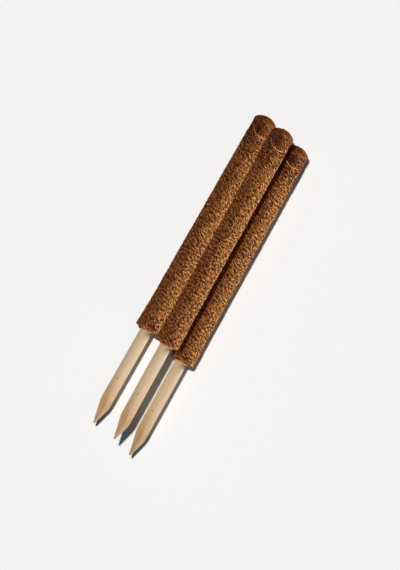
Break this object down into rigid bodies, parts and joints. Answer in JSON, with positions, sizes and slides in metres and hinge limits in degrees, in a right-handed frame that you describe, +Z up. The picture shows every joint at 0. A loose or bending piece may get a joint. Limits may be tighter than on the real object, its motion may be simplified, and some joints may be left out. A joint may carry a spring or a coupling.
{
  "type": "moss pole set",
  "caption": "Loose plant support poles lying in a stack: each a pointed round wooden stake in a rolled coir fibre sleeve closed by a domed coir cap.",
  "frame": {"origin": "on the floor under the middle of the set's box", "axes": "+X along the poles from the points to the caps, +Y towards the left pole, +Z up"},
  "size_m": [0.4126, 0.0798, 0.0423],
  "materials": {
    "wood": "bare pale softwood, turned round and whittled to a point",
    "coir": "bonded coconut fibre mat, coarse and matt",
    "coir_cap": "bonded coconut fibre pad, coarse and matt",
    "staple_wire": "galvanised wire"
  },
  "bodies": {
    "left_pole": {"left_stake": "wood", "left_coir_sleeve": "coir", "left_coir_cap": "coir_cap", "left_staple_lower": "staple_wire", "left_staple_middle": "staple_wire", "left_staple_upper": "staple_wire"},
    "middle_pole": {"middle_stake": "wood", "middle_coir_sleeve": "coir", "middle_coir_cap": "coir_cap", "middle_staple_lower": "staple_wire", "middle_staple_middle": "staple_wire", "middle_staple_upper": "staple_wire"},
    "right_pole": {"right_stake": "wood", "right_coir_sleeve": "coir", "right_coir_cap": "coir_cap", "right_staple_lower": "staple_wire", "right_staple_middle": "staple_wire", "right_staple_upper": "staple_wire"}
  },
  "joints": [
    {"name": "middle_lift", "type": "slide", "parent": "left_pole", "child": "middle_pole", "axis": [0, 0, 1], "range_m": [0, 0.1]},
    {"name": "right_slide", "type": "slide", "parent": "left_pole", "child": "right_pole", "axis": [0, -1, 0], "range_m": [0, 0.08]}
  ]
}
